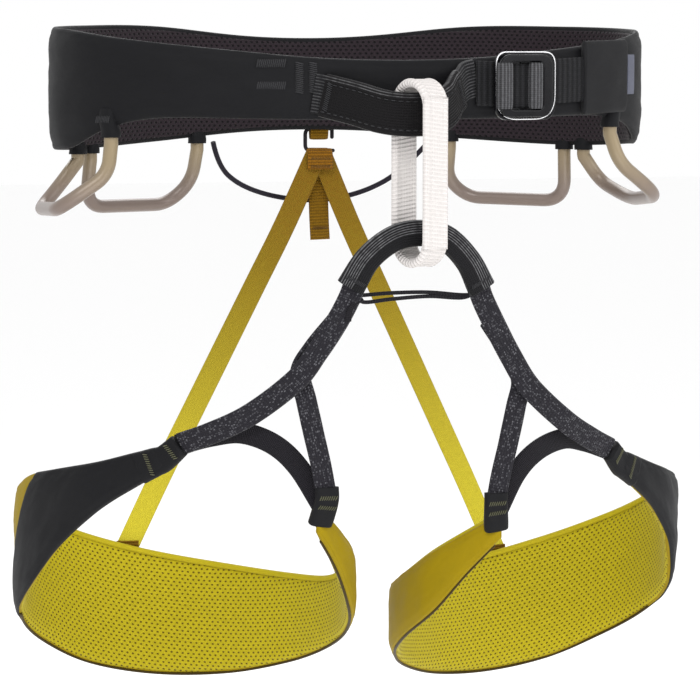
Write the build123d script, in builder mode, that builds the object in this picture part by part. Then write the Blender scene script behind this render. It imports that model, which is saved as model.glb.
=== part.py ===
from build123d import *
import math
import os

os.makedirs("parts", exist_ok=True)

# A sit harness: a padded waist belt, a webbing leg set that hangs from it, and a belay loop
# that joins the two. Millimetres, +Z up, the wearer faces -Y, and the origin is the centre of
# the waist opening at the middle of the belt's height.

# Driving dimensions
waist_half_width = 168
waist_half_depth = 103
skin = 1.2
belt_core = 4.2
liner = 1.6
load_strap = 1.2
load_strap_width = 22
lower_x = 8
leg_half_length = 96
leg_half_width = 73
leg_turn = 40
pad_skin = 1.0
pad_core = 3.6
pad_gap = 0.25
strap_width = 12.5
strap_thickness = 2.2
gear_tube = 3.8
haul_cord = 1.5
belay_width = 16
belay_thickness = 4

up = Vector(0, 0, 1)
forward = Vector(0, -1, 0)


def finish(builder, name):
    """Name a finished piece and write it."""
    builder.part.label = name
    export_step(builder.part, "parts/" + name + ".step")


def belt_blank(inset, thickness, height):
    """An upright elliptical ring, its outside set in from the belt's outer face."""
    with BuildPart() as blank:
        with BuildSketch():
            Ellipse(waist_half_width - inset, waist_half_depth - inset)
            inner = inset + thickness
            Ellipse(waist_half_width - inner, waist_half_depth - inner, mode=Mode.SUBTRACT)
        extrude(amount=height / 2, both=True)
    return blank.part


def belt_outline(margin):
    """The belt's shape seen from the side: low at the front, tall over the hips."""
    top = [(-112, 13), (-104, 14), (-85, 20), (-55, 25.6), (-25, 30), (0, 31.3), (50, 33), (85, 33),
           (104, 26), (112, 22)]
    bottom = [(-112, -17), (-104, -17), (-72, -16), (-50, -21), (-25, -32), (0, -34), (50, -36),
              (85, -33), (104, -27), (112, -24)]
    with BuildSketch(Plane.YZ) as outline:
        with BuildLine():
            upper = Spline(*[(y, z - margin) for y, z in top])
            lower = Spline(*[(y, z + margin) for y, z in bottom])
            Line(upper @ 0, lower @ 0)
            Line(upper @ 1, lower @ 1)
        make_face()
    return outline.sketch


def belt_layer(inset, thickness, margin=0.0):
    """One layer of the belt, cut to the belt's side outline."""
    with BuildPart() as layer:
        add(belt_blank(inset, thickness, 120))
        extrude(belt_outline(margin), amount=waist_half_width + 20, both=True, mode=Mode.INTERSECT)
    return layer.part


def belt_inside():
    """Everything within the belt's outer face."""
    with BuildPart() as inside:
        with BuildSketch():
            Ellipse(waist_half_width + 0.02, waist_half_depth + 0.02)
        extrude(amount=60, both=True)
    return inside.part


def belt_point(angle, out=0.0, z=0.0):
    """A point by the belt's outer face, by its angle about the waist opening (0 is +X, -90 the front)."""
    a = math.radians(angle)
    return Vector((waist_half_width + out) * math.cos(a), (waist_half_depth + out) * math.sin(a), z)


def belt_travel(angle):
    """The direction along the belt at that angle."""
    a = math.radians(angle)
    return Vector(-waist_half_width * math.sin(a), waist_half_depth * math.cos(a), 0).normalized()


def strap_section(centre, travel, across, width, thickness):
    """One rectangular section of a strap, square to its direction of travel."""
    side = across - travel * across.dot(travel)
    with BuildSketch(Plane(origin=centre, x_dir=side, z_dir=travel)) as section:
        Rectangle(width, thickness)
    return section.sketch


def strap(route, across, width, thickness, lift=0.0):
    """A flat strap along a route, its width along `across`, lifted off the route by `lift`."""
    points = [Vector(*p) for p in route]
    last = len(points) - 1
    sections = []
    for index, point in enumerate(points):
        travel = (points[min(index + 1, last)] - points[max(index - 1, 0)]).normalized()
        side = across[index] if isinstance(across, list) else across
        normal = travel.cross(side).normalized()
        sections.append(strap_section(point + normal * lift, travel, side, width, thickness))
    with BuildPart() as made:
        loft(sections, ruled=last == 1)
    return made.part


def belt_band(start, end, z_start, z_end, width, thickness, out):
    """A flat strap that lies along the belt's outer face."""
    steps = 6
    sections = []
    for n in range(steps + 1):
        share = n / steps
        angle = start + (end - start) * share
        z = z_start + (z_end - z_start) * share
        sections.append(strap_section(belt_point(angle, out, z), belt_travel(angle), up, width, thickness))
    with BuildPart() as band:
        loft(sections)
    return band.part


def round_tube(route, radius):
    """A round tube: straight runs, each corner rounded as far as the runs beside it allow."""
    points = [Vector(*p) for p in route]
    radii = []
    for before, here, after in zip(points, points[1:], points[2:]):
        first = here - before
        second = after - here
        half_turn = math.radians(first.get_angle(second)) / 2
        radii.append(0.45 * min(first.length, second.length) / math.tan(half_turn))
    with BuildPart() as tube:
        with BuildLine() as path:
            FilletPolyline(*points, radius=radii)
        with BuildSketch(Plane(origin=path.line @ 0, z_dir=path.line % 0)):
            Circle(radius)
        sweep(path=path.line)
    length = path.wire().length
    share = tube.part.volume / (math.pi * radius ** 2 * length)
    print("tube radii", [round(r, 1) for r in radii], "length", round(length, 1), "volume share", round(share, 4))
    return tube.part


# The waist belt: shell, load strap, foam and mesh liner, from the outside in

with BuildPart() as belt_shell:
    add(belt_layer(0, skin))
finish(belt_shell, "belt_shell")

with BuildPart() as belt_load_strap:
    add(belt_blank(skin, load_strap, load_strap_width))
finish(belt_load_strap, "belt_load_strap")

with BuildPart() as belt_foam_core:
    add(belt_layer(skin, belt_core, 1.5))
    add(belt_load_strap.part, mode=Mode.SUBTRACT)
finish(belt_foam_core, "belt_foam_core")

with BuildPart() as belt_mesh_liner:
    add(belt_layer(skin + belt_core, liner))
finish(belt_mesh_liner, "belt_mesh_liner")

# The tie-in strap: webbing that stands out from the belt's front and carries the belay loop,
# with a wear sleeve on its outside

tie_in_route = [(-42, -100.5, -4), (-28, -110, -8), (-16, -118, -12), (-6, -121.6, -13.5), (4, -122, -13.6),
                (13, -120.6, -13), (21, -115.5, -9), (27, -109, -3), (34, -101.5, 2.5)]
tie_in_width = 21
tie_in_thickness = 3.2
wear_sleeve = 1

with BuildPart() as tie_in_loop:
    add(strap(tie_in_route, up, tie_in_width, tie_in_thickness))
    add(belt_inside(), mode=Mode.SUBTRACT)
finish(tie_in_loop, "tie_in_loop")

sleeve_lift = tie_in_thickness / 2 + wear_sleeve / 2 + 0.5

with BuildPart() as tie_in_wear_sleeve:
    add(strap(tie_in_route, up, tie_in_width + 1.6, wear_sleeve, lift=sleeve_lift))
    add(belt_inside(), mode=Mode.SUBTRACT)
finish(tie_in_wear_sleeve, "tie_in_wear_sleeve")

# Bar tacks that lock the tie-in strap and the belt's front webbing together: centre angle,
# height on the belt, width and height of each

front_tacks = [(-114, 12.5, 15, 4.5), (-114, 1, 15, 4.5), (-108.8, 5, 4.5, 16), (-106.3, 5, 4.5, 16)]

with BuildPart() as front_bartacks:
    for angle, z, width, height in front_tacks:
        with BuildSketch(Plane(belt_point(angle, 0, z), x_dir=belt_travel(angle), z_dir=belt_point(angle))):
            Rectangle(width, height)
        extrude(amount=0.9, both=True)
    add(belt_inside(), mode=Mode.SUBTRACT)
finish(front_bartacks, "front_bartacks")

# The waist buckle: a back plate held by a webbing loop, and a front plate that tips about its
# left bar to let the webbing slide

buckle_angle = -66.5
buckle_out = 3.4
buckle_width = 38
buckle_height = 36
plate = 2.2
window_height = 25
plate_gap = 0.5
buckle_plane = Plane(belt_point(buckle_angle, buckle_out, 0.6), x_dir=belt_travel(buckle_angle),
                     z_dir=belt_travel(buckle_angle).cross(up))
buckle_front = Axis((0, 0, 0), tuple(buckle_plane.z_dir))

with BuildPart() as buckle_back_plate:
    with BuildSketch(buckle_plane):
        RectangleRounded(buckle_width, buckle_height, 7)
        with Locations((-buckle_width / 2 + 8, 0)):
            RectangleRounded(6, window_height, 2, mode=Mode.SUBTRACT)
        with Locations((4.5, 0)):
            RectangleRounded(18, window_height, 2, mode=Mode.SUBTRACT)
    extrude(amount=plate)
    fillet(buckle_back_plate.edges().group_by(buckle_front)[-1], 0.7)
finish(buckle_back_plate, "buckle_back_plate")

with BuildPart() as buckle_front_plate:
    with BuildSketch(buckle_plane.offset(plate + plate_gap)):
        with Locations((-1.5, 0)):
            RectangleRounded(buckle_width - 5, buckle_height - 3, 6)
            RectangleRounded(buckle_width - 17, window_height, 2, mode=Mode.SUBTRACT)
    extrude(amount=plate + 0.6)
    fillet(buckle_front_plate.edges().group_by(buckle_front)[-1], 1)
finish(buckle_front_plate, "buckle_front_plate")

# The webbing under the buckle, its free tail, the elastic keeper and the size label

webbing = 1.8
webbing_width = 24

with BuildPart() as buckle_anchor_webbing:
    add(belt_band(-76, -63, 2, 1, webbing_width, webbing, 0.2 + webbing / 2))
finish(buckle_anchor_webbing, "buckle_anchor_webbing")

with BuildPart() as belt_tail_webbing:
    add(belt_band(-58.5, -41, 3, 5, webbing_width, webbing, 0.6 + webbing / 2))
finish(belt_tail_webbing, "belt_tail_webbing")

keeper = 1.2
keeper_height = 38
keeper_lift = 3.2

with BuildPart() as webbing_keeper:
    add(belt_band(-50.5, -36, 4.5, 5.5, keeper_height, keeper, keeper_lift + keeper / 2))
    for side in (-1, 1):
        edge = side * (keeper_height - 3) / 2
        add(belt_band(-50.5, -36, 4.5 + edge, 5.5 + edge, 3, keeper_lift, 0.1 + keeper_lift / 2))
finish(webbing_keeper, "webbing_keeper")

with BuildPart() as inner_label:
    add(belt_band(-31.5, -27.5, 6, 6, 22, 0.5, 0.35))
finish(inner_label, "inner_label")

# Gear loops: stiff tubing in a wide U, each end seated under the belt's lower edge

gear_loops = {
    "gear_loop_front_left": [(-144, -48, -30), (-146, -49, -46), (-172, -47, -64), (-168, 36, -68),
                             (-157, 44, -57), (-145, 46, -42)],
    "gear_loop_rear_left": [(-136, 57, -42), (-138, 62, -69), (-84, 97, -70), (-69, 97, -57), (-67, 91, -38)],
    "gear_loop_front_right": [(131, -60.5, -26), (136, -62, -42), (162, -55, -61), (170, 8, -66),
                              (162, 36, -57), (152, 38, -42)],
    "gear_loop_rear_right": [(144, 49, -42), (146, 53, -69), (98, 90, -68), (86, 93, -57), (85, 85.2, -38)],
}

for name, route in gear_loops.items():
    with BuildPart() as gear_loop:
        add(round_tube(route, gear_tube))
        with Locations(route[0], route[-1]):
            Sphere(gear_tube)
    finish(gear_loop, name)

# Each gear loop's ends are sewn into the belt's lower seam, under a small bar tack. The keeper's
# own seam holds the front right one.

tack_height = 8

with BuildPart() as gear_loop_bartacks:
    for route in gear_loops.values():
        for x, y, z in (route[0], route[-1]):
            angle = math.degrees(math.atan2(y / waist_half_depth, x / waist_half_width))
            if angle > -50 and angle < -35:
                continue
            plane = Plane(belt_point(angle, 0, z + 5 + tack_height), x_dir=belt_travel(angle),
                          z_dir=belt_travel(angle).cross(up))
            with BuildSketch(plane):
                Rectangle(9, 4)
            extrude(amount=0.9, both=True)
    add(belt_inside(), mode=Mode.SUBTRACT)
finish(gear_loop_bartacks, "gear_loop_bartacks")

# The belt's rear tab, which the leg set hooks into

tab_x = 10
tab_width = 11
tab_height = 19
tab_middle = -23.5
tab_y = waist_half_depth + 2.8
tab_layer = 1.1
tab_half_gap = 1.7
tab_bottom = -33

with BuildPart() as rear_hook_tab:
    for y in (tab_y - tab_half_gap - tab_layer / 2, tab_y + tab_half_gap + tab_layer / 2):
        with BuildSketch(Plane((tab_x, y, tab_middle), x_dir=(1, 0, 0), z_dir=(0, 1, 0))):
            Rectangle(tab_width, tab_height)
        extrude(amount=tab_layer / 2, both=True)
    with BuildSketch(Plane((tab_x, tab_y, tab_bottom + 0.7), x_dir=(1, 0, 0), z_dir=(0, 1, 0))):
        Rectangle(tab_width, 1.4)
    extrude(amount=tab_half_gap + tab_layer, both=True)
    add(belt_inside(), mode=Mode.SUBTRACT)
finish(rear_hook_tab, "rear_hook_tab")

# The haul loop: one length of cord from seam to seam across the belt's back

haul_route = [(-57, 93, -34), (-53, 98, -48), (-38, 109, -60), (-14, 119, -68), (14, 122, -71),
              (40, 116, -66), (61, 104, -53), (73, 89.5, -35)]

with BuildPart() as haul_loop:
    add(round_tube(haul_route, haul_cord))
finish(haul_loop, "haul_loop")

# The belay loop: one flat ring of stiff webbing, turned a little about the vertical

belay_top = 4.6
belay_bottom = -92.4
belay_centre = (3.5, -121.8)
strand_gap = 25.2
belay_twist = math.radians(23)
belay_height = belay_top - belay_bottom

with BuildPart() as belay_loop:
    belay_plane = Plane((*belay_centre, (belay_top + belay_bottom) / 2),
                        x_dir=(math.sin(belay_twist), -math.cos(belay_twist), 0),
                        z_dir=(math.cos(belay_twist), math.sin(belay_twist), 0))
    with BuildSketch(belay_plane):
        outer = strand_gap + belay_thickness
        inner = strand_gap - belay_thickness
        RectangleRounded(outer, belay_height, outer / 2 - 0.1)
        RectangleRounded(inner, belay_height - 2 * belay_thickness, inner / 2 - 0.1, mode=Mode.SUBTRACT)
    extrude(amount=belay_width / 2, both=True)
finish(belay_loop, "belay_loop")

# The leg bridge: a stiffened webbing arch through the belay loop, in a ribbed sleeve

bridge_route = [(-31, -112.5, -103), (-22.5, -116.5, -88), (-10, -120.9, -77.6), (4, -121.6, -74.9),
                (18, -120.9, -77.9), (31.5, -116.5, -90), (40.5, -112.5, -105)]
bridge_width = 14
bridge_depth = 7
bridge_wall = 1.2

with BuildPart() as leg_bridge_webbing:
    add(strap(bridge_route, forward, bridge_depth - 2 * bridge_wall, bridge_width - 2 * bridge_wall))
finish(leg_bridge_webbing, "leg_bridge_webbing")

with BuildPart() as leg_bridge_sleeve:
    add(strap(bridge_route, forward, bridge_depth, bridge_width))
    add(leg_bridge_webbing.part, mode=Mode.SUBTRACT)
finish(leg_bridge_sleeve, "leg_bridge_sleeve")

# The keeper elastic under the bridge, with its loose tail

bridge_elastic_route = [(-22, -108.5, -109.5), (-8, -109.5, -108.5), (12, -110, -108), (31, -108.5, -109.5)]
bridge_elastic_width = 4.5
bridge_elastic_thickness = 1.6

with BuildPart() as bridge_elastic:
    add(strap(bridge_elastic_route, up, bridge_elastic_width, bridge_elastic_thickness))
finish(bridge_elastic, "bridge_elastic")

# Leg loops, one each side of the plane x = lower_x. A leg pad is a band that runs round an
# ellipse from its outer front end, round the outside and back of the thigh, to its inner front
# end: (angle about the ellipse, height of the top edge, height of the bottom edge, lean forward).

pad_stations = [
    (-106, -195, -209, 1), (-96, -200, -219, 0), (-82, -207, -234, 0), (-64, -214, -258, 0),
    (-44, -222, -285, 0), (-20, -238, -306, 0), (6, -254, -326, 0), (32, -268, -343, 0),
    (58, -278, -350, 0), (84, -283, -347, 0), (110, -284, -335, 0), (134, -280, -319, 1),
    (154, -268, -303, 4), (172, -252, -285, 9), (188, -238, -260, 14), (203, -224, -236, 20),
]
leg_centre = Vector(103.5, 6, 0)
leg_lift = {"left": 4, "right": -3}
leg_roll = {"left": 0.028, "right": -0.035}
leg_roll_centre = 50
leg_side = {"left": -1, "right": 1}


def leg_raise(side, x):
    """How far a leg loop sits above the common height, x outwards from the middle plane: the two
    loops hang at slightly different heights and tilts."""
    return leg_lift[side] + leg_roll[side] * (x - leg_roll_centre)


def leg_point(side, x, y, z):
    """A point of a leg loop: x is measured outwards from the harness's middle plane."""
    return Vector(lower_x + leg_side[side] * x, y, z + leg_raise(side, x))


def pad_frame(side, station, out):
    """A pad section's centre, travel direction and height, set out from the pad's middle surface."""
    angle, top, bottom, lean = station
    a = math.radians(angle)
    turn = math.radians(leg_turn)
    long_way = Vector(math.cos(turn), math.sin(turn), 0)
    short_way = Vector(-math.sin(turn), math.cos(turn), 0)
    spot = long_way * (leg_half_length * math.cos(a)) + short_way * (leg_half_width * math.sin(a))
    travel = (short_way * (leg_half_width * math.cos(a)) - long_way * (leg_half_length * math.sin(a))).normalized()
    spot = leg_centre + spot + travel.cross(up) * out - Vector(0, lean, 0)
    centre = leg_point(side, spot.X, spot.Y, (top + bottom) / 2)
    return centre, Vector(travel.X * leg_side[side], travel.Y, 0), top - bottom


def pad_band(side, stations, out, thickness, margin=0.0):
    """One layer of a leg pad through the given stations."""
    sections = []
    for station in stations:
        centre, travel, height = pad_frame(side, station, out)
        sections.append(strap_section(centre, travel, up, height - 2 * margin, thickness))
    with BuildPart() as band:
        loft(sections)
    return band.part


skin_out = pad_core / 2 + pad_gap + pad_skin / 2
seam_angle = -52
seam_slant = 38

# The straps that carry a leg loop: outer riser from bridge to outer pad end, inner riser sewn
# behind it, and the elastic that closes the loop in front. Points are for the right side.

outer_riser = [(36, -110.6, -109), (43, -107.5, -123), (53, -102.5, -140), (65, -98.5, -157),
               (88, -91, -176), (107, -80.5, -187), (120.5, -71.5, -193.5)]
inner_riser = [(42.3, -104.3, -122), (52.6, -98.4, -139), (57.5, -94.6, -153), (54, -95, -168),
               (51, -95, -186), (48.5, -94.8, -203), (46.5, -94.8, -217.5)]
loop_elastic = [(117, -68, -193.5), (105, -75, -189), (90, -82, -186.5), (74, -86, -192), (61, -88.5, -204),
                (53, -90.5, -218)]
bridge_middle = 5
riser_top = -109
riser_shift_drop = 45


def side_route(side, route):
    """A right-side route moved to the side asked for; its top follows the bridge's own middle."""
    moved = []
    for x, y, z in route:
        near_bridge = max(0, 1 - (riser_top - z) / riser_shift_drop)
        shift = (bridge_middle - lower_x) * near_bridge
        settle = -leg_raise(side, x) * near_bridge
        moved.append(tuple(leg_point(side, x, y, z) + Vector(shift, 0, settle)))
    return moved


def riser_across(route):
    """A riser lies flat against the thigh, so its width runs sideways, square to its route."""
    points = [Vector(*p) for p in route]
    last = len(points) - 1
    sides = []
    for index in range(len(points)):
        travel = (points[min(index + 1, last)] - points[max(index - 1, 0)]).normalized()
        sides.append(travel.cross(forward).normalized())
    return sides


# The rear: hook plate, strap tail and the elastic risers that hold the pads up

hook_y = tab_y
rear_station = {"left": (48, -276, -349, 0), "right": (53, -277, -350, 0)}
rear_riser_width = 13
rear_riser_y = {"left": -1.2, "right": 0.9}
outer_tab = [(122.3, -70.7, -196), (125.2, -68.1, -199)]
inner_tab = [(46.5, -95, -225.5), (50, -93.8, -228)]
tab_tall = 11
tab_thick = 4.5
hook_centre_z = -33.5
hook_wide = 18.6
hook_tall = 13
hook_bar = 2.2
tail_route = [(tab_x, hook_y + 2.5, -41), (tab_x + 0.5, hook_y + 3.5, -58),
              (tab_x + 1, hook_y + 3.5, -76), (tab_x + 1.5, hook_y + 2.5, -93)]
tail_width = 12
tail_thickness = 1.6
rear_riser_thickness = 1.4
anchor_length = 24
elastic_thickness = 1.4

with BuildPart() as rear_hook:
    with BuildSketch(Plane((tab_x, hook_y, hook_centre_z), x_dir=(1, 0, 0), z_dir=(0, -1, 0))):
        with Locations((0, hook_tall / 2)):
            SlotOverall(hook_wide, hook_bar)
        with Locations(((hook_bar - hook_wide) / 2, 0)):
            SlotOverall(hook_tall + hook_bar, hook_bar, rotation=90)
        with Locations(((hook_wide - hook_bar) / 2, 4)):
            SlotOverall(7, hook_bar, rotation=90)
        with Locations((0, -hook_tall / 2)):
            SlotOverall(hook_wide, hook_bar)
    extrude(amount=hook_bar / 2, both=True)
finish(rear_hook, "rear_hook")

with BuildPart() as rear_strap_tail:
    add(strap(tail_route, Vector(1, 0, 0), tail_width, tail_thickness))
finish(rear_strap_tail, "rear_strap_tail")

with BuildPart() as rear_stitch_block:
    with BuildSketch(Plane((tab_x, hook_y - 3.2, -46), x_dir=(1, 0, 0), z_dir=(0, -1, 0))):
        Rectangle(15, 8)
    extrude(amount=1.6)
finish(rear_stitch_block, "rear_stitch_block")

for side in ("left", "right"):
    foam = pad_band(side, pad_stations, 0, pad_core, 1)
    outer_skin = pad_band(side, pad_stations, skin_out, pad_skin)
    inner_mesh = pad_band(side, pad_stations, -skin_out, pad_skin)

    with BuildPart() as pad_foam:
        add(foam)
        add(outer_skin, mode=Mode.SUBTRACT)
        add(inner_mesh, mode=Mode.SUBTRACT)
    finish(pad_foam, "leg_foam_core_" + side)

    with BuildPart() as pad_mesh:
        add(inner_mesh)
    finish(pad_mesh, "leg_mesh_liner_" + side)

    middle, travel, height = pad_frame(side, (seam_angle, -218, -276, 0), skin_out)
    slant = math.radians(seam_slant)
    seam = Plane(middle, x_dir=travel.cross(up), z_dir=travel * math.cos(slant) - up * math.sin(slant))
    outside = Plane(leg_point(side, leg_centre.X, 0, 0), x_dir=(0, 1, 0), z_dir=(leg_side[side], 0, 0))

    with BuildPart() as pad_panel:
        add(outer_skin)
        split(bisect_by=seam, keep=Keep.BOTTOM)
        split(bisect_by=outside, keep=Keep.TOP)
    finish(pad_panel, "leg_front_panel_" + side)

    with BuildPart() as pad_shell:
        add(outer_skin)
        add(pad_panel.part, mode=Mode.SUBTRACT)
    finish(pad_shell, "leg_shell_" + side)

    with BuildPart() as end_tabs:
        for tab_route in (outer_tab, inner_tab):
            add(strap(side_route(side, tab_route), up, tab_tall, tab_thick))
        add(outer_skin, mode=Mode.SUBTRACT)
    finish(end_tabs, "leg_end_tabs_" + side)

    foot, travel, height = pad_frame(side, rear_station[side], skin_out + 1.8)
    top_edge = foot + up * (height / 2)
    outward = travel.cross(up) * leg_side[side]
    with BuildPart() as anchor:
        add(strap([top_edge - up * 2, top_edge - up * (2 + anchor_length)], travel, rear_riser_width,
                  rear_riser_thickness))
    finish(anchor, "rear_riser_anchor_" + side)

    start = Vector(tab_x + leg_side[side] * 2, hook_y + rear_riser_y[side], -46.5)
    end = top_edge + up * 1 + outward * 0.5
    route = [start + (end - start) * n / 4 for n in range(5)]
    sideways = Vector(1, 0, 0)
    foot_side = travel * (-leg_side[side])
    across = [sideways + (foot_side - sideways) * n / 4 for n in range(5)]
    with BuildPart() as rear_riser:
        add(strap(route, across, rear_riser_width, rear_riser_thickness))
    finish(rear_riser, "rear_riser_" + side)

    outer_route = side_route(side, outer_riser)
    with BuildPart() as riser_out:
        add(strap(outer_route, riser_across(outer_route), strap_width, strap_thickness))
    finish(riser_out, "leg_outer_riser_" + side)

    inner_route = side_route(side, inner_riser)
    with BuildPart() as riser_in:
        add(strap(inner_route, riser_across(inner_route), strap_width, strap_thickness))
        add(riser_out.part, mode=Mode.SUBTRACT)
    finish(riser_in, "leg_inner_riser_" + side)

    elastic_route = side_route(side, loop_elastic)
    with BuildPart() as elastic:
        add(strap(elastic_route, riser_across(elastic_route), strap_width - 1, elastic_thickness))
    finish(elastic, "leg_loop_elastic_" + side)
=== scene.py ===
import bpy
import math
import numpy as np
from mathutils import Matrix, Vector, noise


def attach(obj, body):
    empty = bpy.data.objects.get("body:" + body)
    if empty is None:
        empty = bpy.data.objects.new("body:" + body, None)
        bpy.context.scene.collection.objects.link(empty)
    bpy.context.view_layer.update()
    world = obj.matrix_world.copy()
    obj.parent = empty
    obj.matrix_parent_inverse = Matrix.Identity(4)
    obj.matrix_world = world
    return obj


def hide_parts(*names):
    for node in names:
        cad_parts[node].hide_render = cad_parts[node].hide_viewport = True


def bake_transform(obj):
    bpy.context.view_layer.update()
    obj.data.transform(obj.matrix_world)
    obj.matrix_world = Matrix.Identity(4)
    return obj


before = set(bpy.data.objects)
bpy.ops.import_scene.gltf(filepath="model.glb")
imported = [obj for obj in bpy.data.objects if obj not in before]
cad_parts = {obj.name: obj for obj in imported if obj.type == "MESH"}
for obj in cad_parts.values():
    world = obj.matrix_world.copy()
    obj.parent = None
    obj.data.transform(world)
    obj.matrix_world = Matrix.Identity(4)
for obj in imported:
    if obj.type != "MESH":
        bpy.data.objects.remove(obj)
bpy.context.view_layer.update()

MM = 0.001
UP = Vector((0, 0, 1))
FORWARD = Vector((0, -1, 0))
RIGHT = Vector((1, 0, 0))
SIDES = {"left": -1, "right": 1}

# Sizes that the pieces share, in millimetres, as in the model
BELT_A, BELT_B, BELT_T = 168, 103, 7   # the belt's half length, half depth and thickness
LOWER_X, BRIDGE_X = 8, 5   # the middles of the leg set and of the bridge
LEG_CENTRE, LEG_A, LEG_B, LEG_TURN = Vector((103.5, 6, 0)), 96, 73, math.radians(40)
LEG_LIFT = {"left": 4, "right": -3}
LEG_ROLL, LEG_ROLL_CENTRE = {"left": 0.028, "right": -0.035}, 50
REAR_ANGLE = {"left": 48, "right": 53}


def add(name, data):
    """A new object in the scene."""
    made = bpy.data.objects.new(name, data)
    bpy.context.scene.collection.objects.link(made)
    return made


# The camera and the studio

def studio():
    """A long lens at the height of the leg loops, soft light all round and a pale floor."""
    azimuth, elevation, distance, lens = math.radians(-15.5), math.radians(6), 1.6, 146.7
    target, lamp_target = Vector((0, 0, -0.148)), Vector((0, 0, -0.15))
    back = Vector((math.sin(azimuth) * math.cos(elevation), -math.cos(azimuth) * math.cos(elevation),
                   math.sin(elevation)))
    camera = add("camera", bpy.data.cameras.new("camera"))
    camera.data.lens = lens
    camera.data.sensor_width = 36
    camera.data.clip_start = 0.05
    camera.location = target + back * distance
    camera.rotation_euler = back.to_track_quat("Z", "Y").to_euler()
    bpy.context.scene.camera = camera

    bpy.context.scene.view_settings.view_transform = "Standard"
    world = bpy.data.worlds.new("studio")
    bpy.context.scene.world = world
    world.use_nodes = True
    world.node_tree.nodes["Background"].inputs["Color"].default_value = (1, 1, 1, 1)
    world.node_tree.nodes["Background"].inputs["Strength"].default_value = 1.0

    mesh = bpy.data.meshes.new("floor")
    reach, low = 12, -0.62
    mesh.from_pydata([(-reach, -reach, low), (reach, -reach, low), (reach, reach, low), (-reach, reach, low)],
                     [], [(0, 1, 2, 3)])
    pale = bpy.data.materials.new("floor")
    pale.use_nodes = True
    shader = pale.node_tree.nodes["Principled BSDF"]
    shader.inputs["Base Color"].default_value = (0.97, 0.97, 0.97, 1)
    shader.inputs["Roughness"].default_value = 0.9
    mesh.materials.append(pale)
    add("floor", mesh)

    lamps = [("key", (-0.9, -1.5, 1.3), 1.1, 22), ("fill", (1.3, -1.3, 0.6), 1.2, 12),
             ("rim", (0.3, 1.4, 1.2), 1.2, 14), ("under", (0.0, -1.0, -0.5), 0.8, 4)]
    for name, place, size, power in lamps:
        lamp = bpy.data.lights.new(name, "AREA")
        lamp.size = size
        lamp.energy = power
        holder = add(name, lamp)
        holder.location = place
        aim = Vector(place) - lamp_target
        holder.rotation_euler = aim.to_track_quat("Z", "Y").to_euler()


# Curves and meshes

def smooth(points, count, loop=False):
    """Evenly spaced rows along a smooth curve through rows of numbers; the first three are x, y, z."""
    p = np.array(points, float)
    if loop:
        p = np.vstack([p[-1], p, p[0], p[1]])
    else:
        p = np.vstack([2 * p[0] - p[1], p, 2 * p[-1] - p[-2]])
    dense = []
    for a, b, c, d in zip(p, p[1:], p[2:], p[3:]):
        for t in np.linspace(0, 1, 24, endpoint=False):
            dense.append(0.5 * (2 * b + (c - a) * t + (2 * a - 5 * b + 4 * c - d) * t ** 2
                                + (3 * b - a - 3 * c + d) * t ** 3))
    dense.append(p[-2])
    dense = np.array(dense)
    run = np.concatenate([[0], np.cumsum(np.linalg.norm(np.diff(dense[:, :3], axis=0), axis=1))])
    at = np.linspace(0, run[-1], count, endpoint=not loop)
    return np.stack([np.interp(at, run, dense[:, k]) for k in range(dense.shape[1])], axis=1)


def tube_mesh(name, rings, places, loop=False, flip=False):
    """A closed mesh from rings of points in millimetres; places gives each point's (along, across) on the cloth."""
    count, around = len(rings), len(rings[0])
    points = [tuple(Vector(p) * MM) for ring in rings for p in ring]
    faces, cloth = [], []
    last = count if loop else count - 1
    for r in range(last):
        n = (r + 1) % count
        step = places[r][0][0] - places[r - 1][0][0] if loop and n == 0 else 0
        for k in range(around):
            m = (k + 1) % around
            faces.append((r * around + k, n * around + k, n * around + m, r * around + m))
            ahead = [(places[r][i][0] + step, places[n][i][1]) if step else places[n][i] for i in (k, m)]
            cloth += [places[r][k], *ahead, places[r][m]]
    if not loop:
        for r, order in ((0, range(around)), (count - 1, range(around - 1, -1, -1))):
            faces.append(tuple(r * around + k for k in order))
            cloth += [places[r][k] for k in order]
    mesh = bpy.data.meshes.new(name)
    mesh.from_pydata(points, [], faces)
    layer = mesh.uv_layers.new(name="cloth")
    layer.data.foreach_set("uv", np.array(cloth, np.float32).ravel() * MM)
    if flip:
        mesh.flip_normals()
    mesh.shade_smooth()
    return add(name, mesh)


def band(name, stations, thickness, lift=0.0, squareness=6, across=10, relief=None, loop=False):
    """A strap or pad: stations are (centre, side, normal, width), the section a rounded rectangle."""
    rings, places = [], []
    along, before = 0.0, None
    for centre, side, normal, width in stations:
        if before is not None:
            along += (centre - before).length
        before = centre
        half = width / 2
        ring, place = [], []
        for face in (1, -1):
            for k in range(across + 1):
                turn = math.pi * (k + 0.5) / (across + 1)
                v = -math.cos(turn) * face
                edge = (1 - abs(v) ** squareness) ** (1 / 2)
                out = face * thickness / 2 * edge + lift
                if relief:
                    out += relief(along, v * half, face, half)
                ring.append(centre + side * (v * half) + normal * out)
                place.append((along, v * half))
        rings.append(ring)
        places.append(place)
    return tube_mesh(name, rings, places, loop)


def frames(route, across, width, count):
    """Stations along a smooth route; across is one direction, or one for each point of the route."""
    if not isinstance(across, list):
        across = [across] * len(route)
    widths = width if isinstance(width, list) else [width] * len(route)
    rows = [(*p, *side, w) for p, side, w in zip(route, across, widths)]
    rows = smooth(rows, count)
    stations = []
    for n in range(count):
        ahead, behind = rows[min(n + 1, count - 1)], rows[max(n - 1, 0)]
        travel = Vector(ahead[:3] - behind[:3]).normalized()
        side = Vector(rows[n][3:6])
        side = (side - travel * side.dot(travel)).normalized()
        stations.append((Vector(rows[n][:3]), side, travel.cross(side).normalized(), rows[n][6]))
    return stations


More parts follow.
